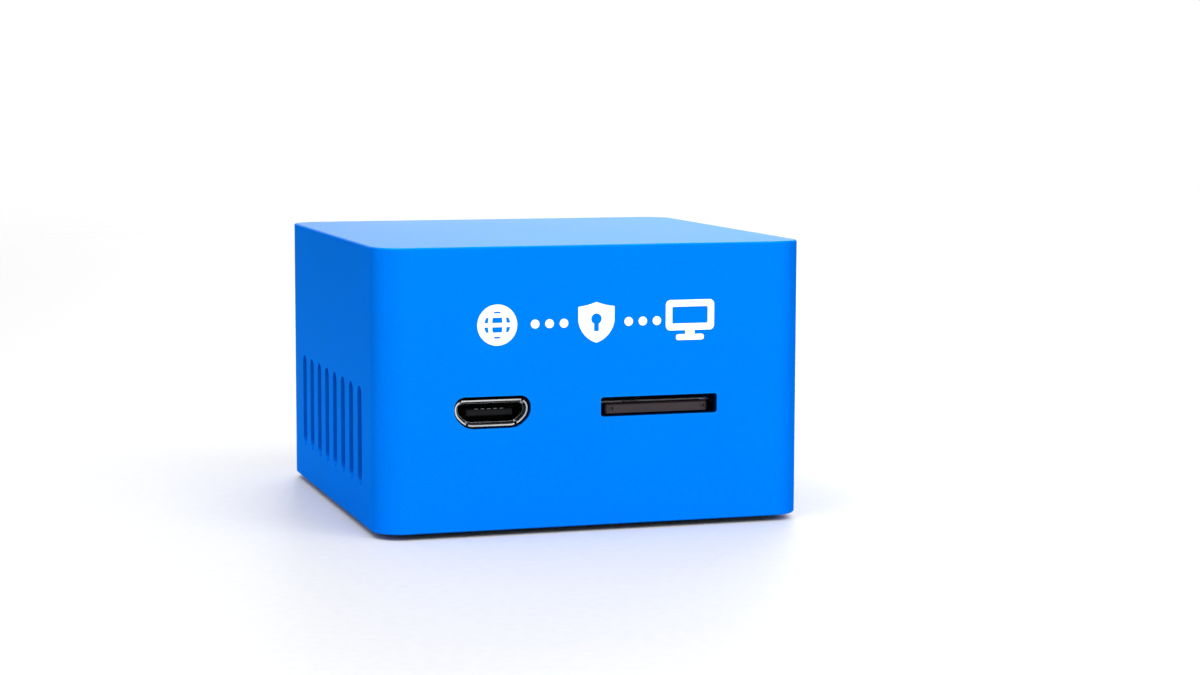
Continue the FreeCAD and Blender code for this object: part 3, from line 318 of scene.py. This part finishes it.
def solder_mask(name):
    """A board's mask: fine weave, and tracks that show as faint raised lines."""
    m = Material(name)
    grid = m.node("ShaderNodeTexBrick", {"offset": 0.5, "squash": 1.0}, Vector=m.place, Scale=420.0)
    grid.inputs["Mortar Size"].default_value = 0.12
    tracks = m.math("MULTIPLY", grid.outputs["Fac"], m.remap(m.noise(300.0, 1.0), 0.45, 0.55, 0.0, 1.0))
    weave = m.noise(5200.0, 2.0, 0.5)
    m.set(Base_Color=m.mix(tracks, MASK, TRACK), Roughness=m.spread(weave, 0.22, 0.36))
    m.bump(m.math("ADD", tracks, m.math("MULTIPLY", weave, 0.2)), 20 * MICRON)
    return m.material


def clear_lamp(name):
    """Water-clear epoxy over a pale chip, with its bubbles and haze."""
    m = Material(name)
    haze = m.noise(1600.0, 3.0, 0.6)
    m.set(Base_Color=m.mix(haze, LAMP, LAMP_HAZE), Transmission_Weight=0.4,
          Roughness=m.spread(haze, 0.12, 0.28))
    m.bump(haze, 8 * MICRON)
    return m.material


FINISHES = {
    "blue_aluminium": partial(anodised, base=BLUE, worn=BLUE_WORN, roughness=0.58, grazing=BLUE_GRAZING),
    "black_aluminium": partial(anodised, base=BLACK, worn=BLACK_WORN, roughness=0.4, grazing=WHITE),
    "white_ink": printed_ink,
    "rubber_black": rubber,
    "label_grey": label_film,
    "nickel_steel": partial(plated, base=(0.58, 0.59, 0.6, 1), roughness=0.2, inner_shade=0.9),
    "stainless": partial(plated, base=(0.6, 0.6, 0.6, 1), roughness=0.28, grain=1800.0, stretch=ALONG_X),
    "black_screw": partial(plated, base=(0.035, 0.035, 0.04, 1), roughness=0.35),
    "brass_nickel": partial(plated, base=(0.72, 0.69, 0.6, 1), roughness=0.26, grain=2600.0,
                            stretch=ALONG_Z),
    "gold": partial(plated, base=(0.95, 0.68, 0.25, 1), roughness=0.2),
    "bright_aluminium": partial(plated, base=(0.82, 0.82, 0.83, 1), roughness=0.25, grain=1500.0,
                                stretch=(1.0, 1.0, 0.03)),
    "solder_mask": solder_mask,
    "lamp_clear": clear_lamp,
    "chip_epoxy": partial(moulded, base=BLACK, roughness=0.55, grain=4200.0, depth=16 * MICRON),
    "capacitor_ceramic": partial(moulded, base=(0.2, 0.12, 0.06, 1), roughness=0.5),
    "resistor_ceramic": partial(moulded, base=(0.012, 0.012, 0.014, 1), roughness=0.3),
    "ferrite": partial(moulded, base=(0.03, 0.03, 0.032, 1), roughness=0.6, grain=2600.0,
                       depth=30 * MICRON),
    "black_nylon": partial(moulded, base=(0.004, 0.004, 0.0045, 1), roughness=0.6, shine=0.12),
    "white_nylon": partial(moulded, base=(0.72, 0.72, 0.68, 1), roughness=0.4, vary=0.08),
    "card_black": partial(moulded, base=(0.028, 0.018, 0.019, 1), roughness=0.42, grain=7000.0, shine=0.35),
    "thermal_pad": partial(moulded, base=(0.25, 0.3, 0.38, 1), roughness=0.7, grain=1500.0,
                           depth=30 * MICRON),
}


def paint_nodes():
    """Gives every CAD node the finish of its slot."""
    made = {name: build(name) for name, build in FINISHES.items()}
    for part in RECORD["subparts"]:
        node = NODES[part["node"]]
        node.data.materials.clear()
        node.data.materials.append(made[part["material_slot"]])
    return made


# ---------------------------------------------------------------- the ejector's spring

SPRING_WIRE = 0.1 * MM
SPRING_TURNS = 8
STEPS_PER_TURN = 20
WIRE_SIDES = 8


def coil_mesh(name, start, end, radius, wire, turns):
    """A helical spring of round wire between two points."""
    along = (end - start).normalized()
    across = along.orthogonal().normalized()
    third = along.cross(across)
    rings = STEPS_PER_TURN * turns + 1
    points, faces = [], []
    for k in range(rings):
        angle = 2 * math.pi * k / STEPS_PER_TURN
        outward = across * math.cos(angle) + third * math.sin(angle)
        centre = start.lerp(end, k / (rings - 1)) + outward * radius
        for j in range(WIRE_SIDES):
            turn = 2 * math.pi * j / WIRE_SIDES
            points.append(centre + (outward * math.cos(turn) + along * math.sin(turn)) * wire / 2)
    for k in range(rings - 1):
        for j in range(WIRE_SIDES):
            a, b = k * WIRE_SIDES + j, k * WIRE_SIDES + (j + 1) % WIRE_SIDES
            faces.append((a, b, b + WIRE_SIDES, a + WIRE_SIDES))
    faces.append(tuple(reversed(range(WIRE_SIDES))))
    faces.append(tuple(range((rings - 1) * WIRE_SIDES, rings * WIRE_SIDES)))
    mesh = bpy.data.meshes.new(name)
    mesh.from_pydata(points, [], faces)
    mesh.shade_smooth()
    coil = bpy.data.objects.new(name, mesh)
    bpy.context.scene.collection.objects.link(coil)
    return coil


def eject_spring(finish):
    """The spring behind the card's ejector, as a coil of round wire in place of the CAD part; in the real
    socket one end stays put and the other goes with the ejector.
    """
    low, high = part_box("eject_spring")
    middle = (Vector(low) + Vector(high)) / 2
    start = Vector((middle.x, low[1] + SPRING_WIRE / 2, middle.z))
    end = Vector((middle.x, high[1] - SPRING_WIRE / 2, middle.z))
    radius = (high[0] - low[0] - SPRING_WIRE) / 2
    coil = coil_mesh("eject_spring_wire", start, end, radius, SPRING_WIRE, SPRING_TURNS)
    coil.data.materials.append(finish)
    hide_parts("eject_spring")
    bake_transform(coil)


# ---------------------------------------------------------------- studio

# places and sizes in the studio are in metres
BEHIND_RIGHT = (0.4, 0.8, 0.32)
BEHIND = (0.22, 0.85, 0.32)
UPPER_BODY = (0, 0, 0.03)
RIM_SIZE = (0.6, 0.4)
WARM = (1.0, 0.04, 0.03)
# half the floor's width, and how far from its middle it fades
FLOOR_REACH = 6.0
FADE_START, FADE_END = 0.12, 0.7
TABLE = (0.5, 0.5, 0.5, 1)
TABLE_PALE = (0.56, 0.56, 0.56, 1)
# the flags are this much wider than high
FLATTEN = (1.0, 1.0, 2.2)
# each flag: the direction of its middle, the cosines where it starts and is darkest, and the light left
FLAGS = (
    ((-0.6, 0.8, 0.0), 0.74, 0.9, 0.0),
    ((0.95, 0.31, 0.0), 0.7, 0.92, 0.3),
)


def make_world():
    """An even white surround. Reflections also meet low dark flags at the left rear and the right."""
    world = bpy.data.worlds.new("studio")
    bpy.context.scene.world = world
    world.use_nodes = True
    w = Nodes(world.node_tree)
    around = w.vector("MULTIPLY", w.node("ShaderNodeTexCoord").outputs["Generated"], FLATTEN)
    around = w.vector("NORMALIZE", around)
    light = 1.0
    for middle, start, darkest, left in FLAGS:
        near = w.vector("DOT_PRODUCT", around, middle)
        light = w.math("MULTIPLY", light, w.remap(near, start, darkest, 1.0, left, "SMOOTHSTEP"))
    seen = w.node("ShaderNodeLightPath").outputs["Is Camera Ray"]
    background = w.tree.nodes["Background"]
    background.inputs["Color"].default_value = WHITE
    w.feed(background.inputs["Strength"], w.math("MAXIMUM", light, seen))


def soft_light(name, place, target, size, watts, tint=(1.0, 1.0, 1.0), only=()):
    """A soft box. `only` names the nodes that it lights, if it doesn't light everything."""
    data = bpy.data.lights.new(name, "AREA")
    data.shape = "RECTANGLE"
    data.size, data.size_y = size
    data.energy = watts
    data.color = tint
    light = bpy.data.objects.new(name, data)
    bpy.context.scene.collection.objects.link(light)
    light.location = place
    light.rotation_euler = (Vector(target) - Vector(place)).to_track_quat("-Z", "Y").to_euler()
    if only:
        lit = bpy.data.collections.new(name + "_lit")
        for node in only:
            lit.objects.link(NODES[node])
        light.light_linking.receiver_collection = lit


def make_lights():
    """A key from the front right, a steep side light for the left wall, and two lights from behind."""
    soft_light("key", place=(0.25, -0.6, 0.7), target=(0, 0, 0.015), size=(0.7, 0.7), watts=6.2)
    soft_light("side", place=(-0.3, -0.12, 0.65), target=(-0.02, 0, 0.01), size=(0.4, 0.4), watts=2.3)
    soft_light("rim", place=BEHIND_RIGHT, target=UPPER_BODY, size=RIM_SIZE, watts=3.2)
    soft_light("warm_rim", place=BEHIND, target=UPPER_BODY, size=RIM_SIZE, watts=13.0, tint=WARM,
               only=("housing_shell",))


def make_floor():
    """A pale matte table with a very fine texture, which fades into the white surround far away."""
    mesh = bpy.data.meshes.new("floor")
    corners = [(x * FLOOR_REACH, y * FLOOR_REACH, 0) for x, y in ((-1, -1), (1, -1), (1, 1), (-1, 1))]
    mesh.from_pydata(corners, [], [(0, 1, 2, 3)])
    floor = bpy.data.objects.new("floor", mesh)
    bpy.context.scene.collection.objects.link(floor)
    m = Material("pale_floor")
    fine = m.noise(900.0, 3.0, 0.5)
    m.set(Base_Color=m.mix(fine, TABLE, TABLE_PALE), Roughness=0.6)
    m.bump(fine, 20 * MICRON)
    far = m.remap(m.vector("LENGTH", m.place), FADE_START, FADE_END, 0.0, 1.0, "SMOOTHSTEP")
    clear = m.node("ShaderNodeBsdfTransparent")
    blend = m.node("ShaderNodeMixShader", Fac=far)
    m.feed(blend.inputs[1], m.shader.outputs["BSDF"])
    m.feed(blend.inputs[2], clear.outputs["BSDF"])
    m.feed(m.tree.nodes["Material Output"].inputs["Surface"], blend.outputs["Shader"])
    mesh.materials.append(m.material)


make_camera()
make_world()
make_floor()
make_lights()
made = paint_nodes()
eject_spring(made["stainless"])

bpy.context.scene.view_settings.view_transform = "Standard"
